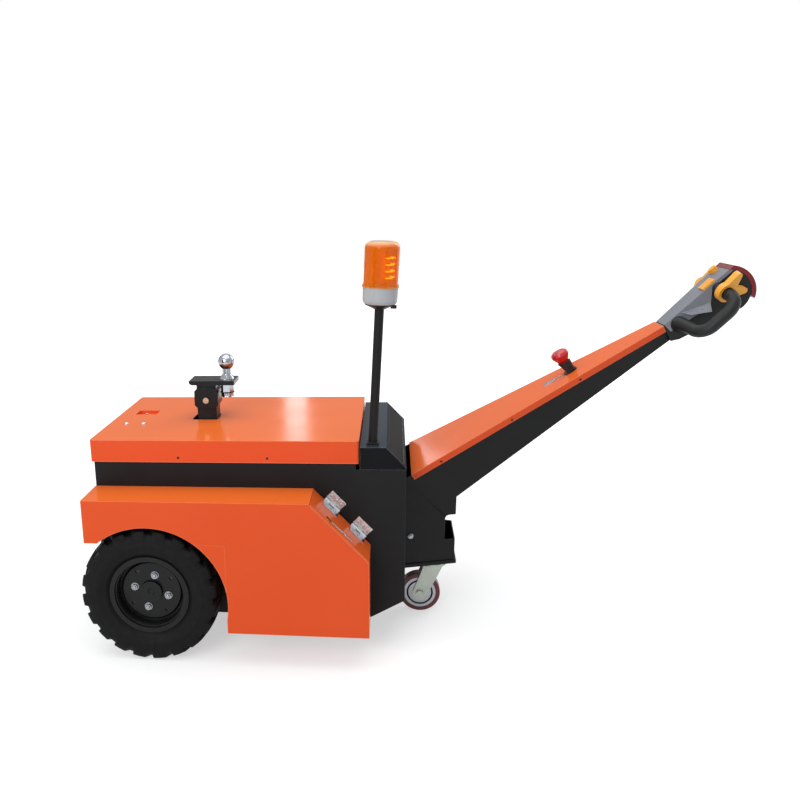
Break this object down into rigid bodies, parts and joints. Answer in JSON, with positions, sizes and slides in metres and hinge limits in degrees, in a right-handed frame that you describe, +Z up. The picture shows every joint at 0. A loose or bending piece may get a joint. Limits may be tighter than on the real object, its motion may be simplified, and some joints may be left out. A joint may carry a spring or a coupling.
{
  "type": "electric tow tractor",
  "caption": "Pedestrian electric tow tractor: boxy chassis on two driven wheels and a swivel caster, tow ball on a post, beacon on a pole, and a fixed tiller arm with a control head.",
  "frame": {"origin": "on the floor, midway along the length between the drive tyres' front and the head's nose, on the centreline", "axes": "+X towards the tiller head, +Y to the right-hand side seen from the tiller, +Z up"},
  "size_m": [1.8458, 0.828, 1.1575],
  "materials": {
    "chassis_paint": "satin powder coat",
    "orange_paint": "gloss powder coat",
    "console_gloss": "gloss",
    "hitch_gloss": "gloss",
    "stainless": "bright",
    "chrome": "polished",
    "zinc": "zinc plated",
    "cast_drive": "as cast",
    "battery_case": "moulded",
    "black_plastic": "fine texture",
    "beacon_grey": "moulded",
    "lamp_core": "moulded",
    "amber_lens": "clear moulded",
    "red_plastic": "moulded",
    "head_grey": "fine texture",
    "belly_red": "moulded",
    "yellow_plastic": "moulded",
    "rim_black": "satin",
    "tyre_rubber": "moulded",
    "caster_core": "cast",
    "caster_pu": "moulded"
  },
  "bodies": {
    "chassis": {"chassis_shell": "chassis_paint", "battery_block": "battery_case", "drive_unit": "cast_drive", "top_cover": "orange_paint", "console": "console_gloss", "fender_left": "orange_paint", "fender_right": "orange_paint", "hinge_fixed_left": "stainless", "hinge_fixed_right": "stainless", "hitch_post": "hitch_gloss", "hitch_sleeve": "hitch_gloss", "hitch_bolt": "stainless", "ball_plate": "hitch_gloss", "tow_ball": "chrome", "beacon_pole": "chassis_paint", "beacon_bracket": "black_plastic", "beacon_base": "beacon_grey", "beacon_core": "lamp_core", "beacon_lens": "amber_lens", "arm_frame": "chassis_paint", "arm_cover": "orange_paint", "base_plate": "chassis_paint", "switch_body": "black_plastic", "switch_knob": "red_plastic", "switch_tether": "stainless", "head_shell": "head_grey", "head_base": "black_plastic", "belly_button": "belly_red", "head_buttons": "yellow_plastic", "grip_left": "black_plastic", "grip_right": "black_plastic", "throttle_left": "yellow_plastic", "throttle_right": "yellow_plastic", "caster_plate": "zinc"},
    "drive_wheel_left": {"rim_left": "rim_black", "tyre_left": "tyre_rubber"},
    "drive_wheel_right": {"rim_right": "rim_black", "tyre_right": "tyre_rubber"},
    "flap_left": {"flap_left": "orange_paint", "hinge_moving_left": "stainless"},
    "flap_right": {"flap_right": "orange_paint", "hinge_moving_right": "stainless"},
    "caster_fork": {"caster_fork": "zinc"},
    "caster_wheel": {"caster_core": "caster_core", "caster_tread": "caster_pu"}
  },
  "joints": [
    {"name": "drive_left", "type": "hinge", "parent": "chassis", "child": "drive_wheel_left", "pos_m": [-0.72292, -0.3495, 0.2], "axis": [0, 1, 0], "continuous": true},
    {"name": "drive_right", "type": "hinge", "parent": "chassis", "child": "drive_wheel_right", "pos_m": [-0.72292, 0.3495, 0.2], "axis": [0, 1, 0], "continuous": true},
    {"name": "caster_swivel", "type": "hinge", "parent": "chassis", "child": "caster_fork", "pos_m": [0.08308, 0, 0.183], "axis": [0, 0, 1], "continuous": true},
    {"name": "caster_roll", "type": "hinge", "parent": "caster_fork", "child": "caster_wheel", "pos_m": [0.04308, 0, 0.0625], "axis": [0, 1, 0], "continuous": true},
    {"name": "flap_left_open", "type": "hinge", "parent": "chassis", "child": "flap_left", "pos_m": [-0.17926, -0.2852, 0.41302], "axis": [-0.6982, 0, 0.7159], "range_deg": [0, 85]},
    {"name": "flap_right_open", "type": "hinge", "parent": "chassis", "child": "flap_right", "pos_m": [-0.17926, 0.2852, 0.41302], "axis": [0.6982, 0, -0.7159], "range_deg": [0, 85]}
  ]
}
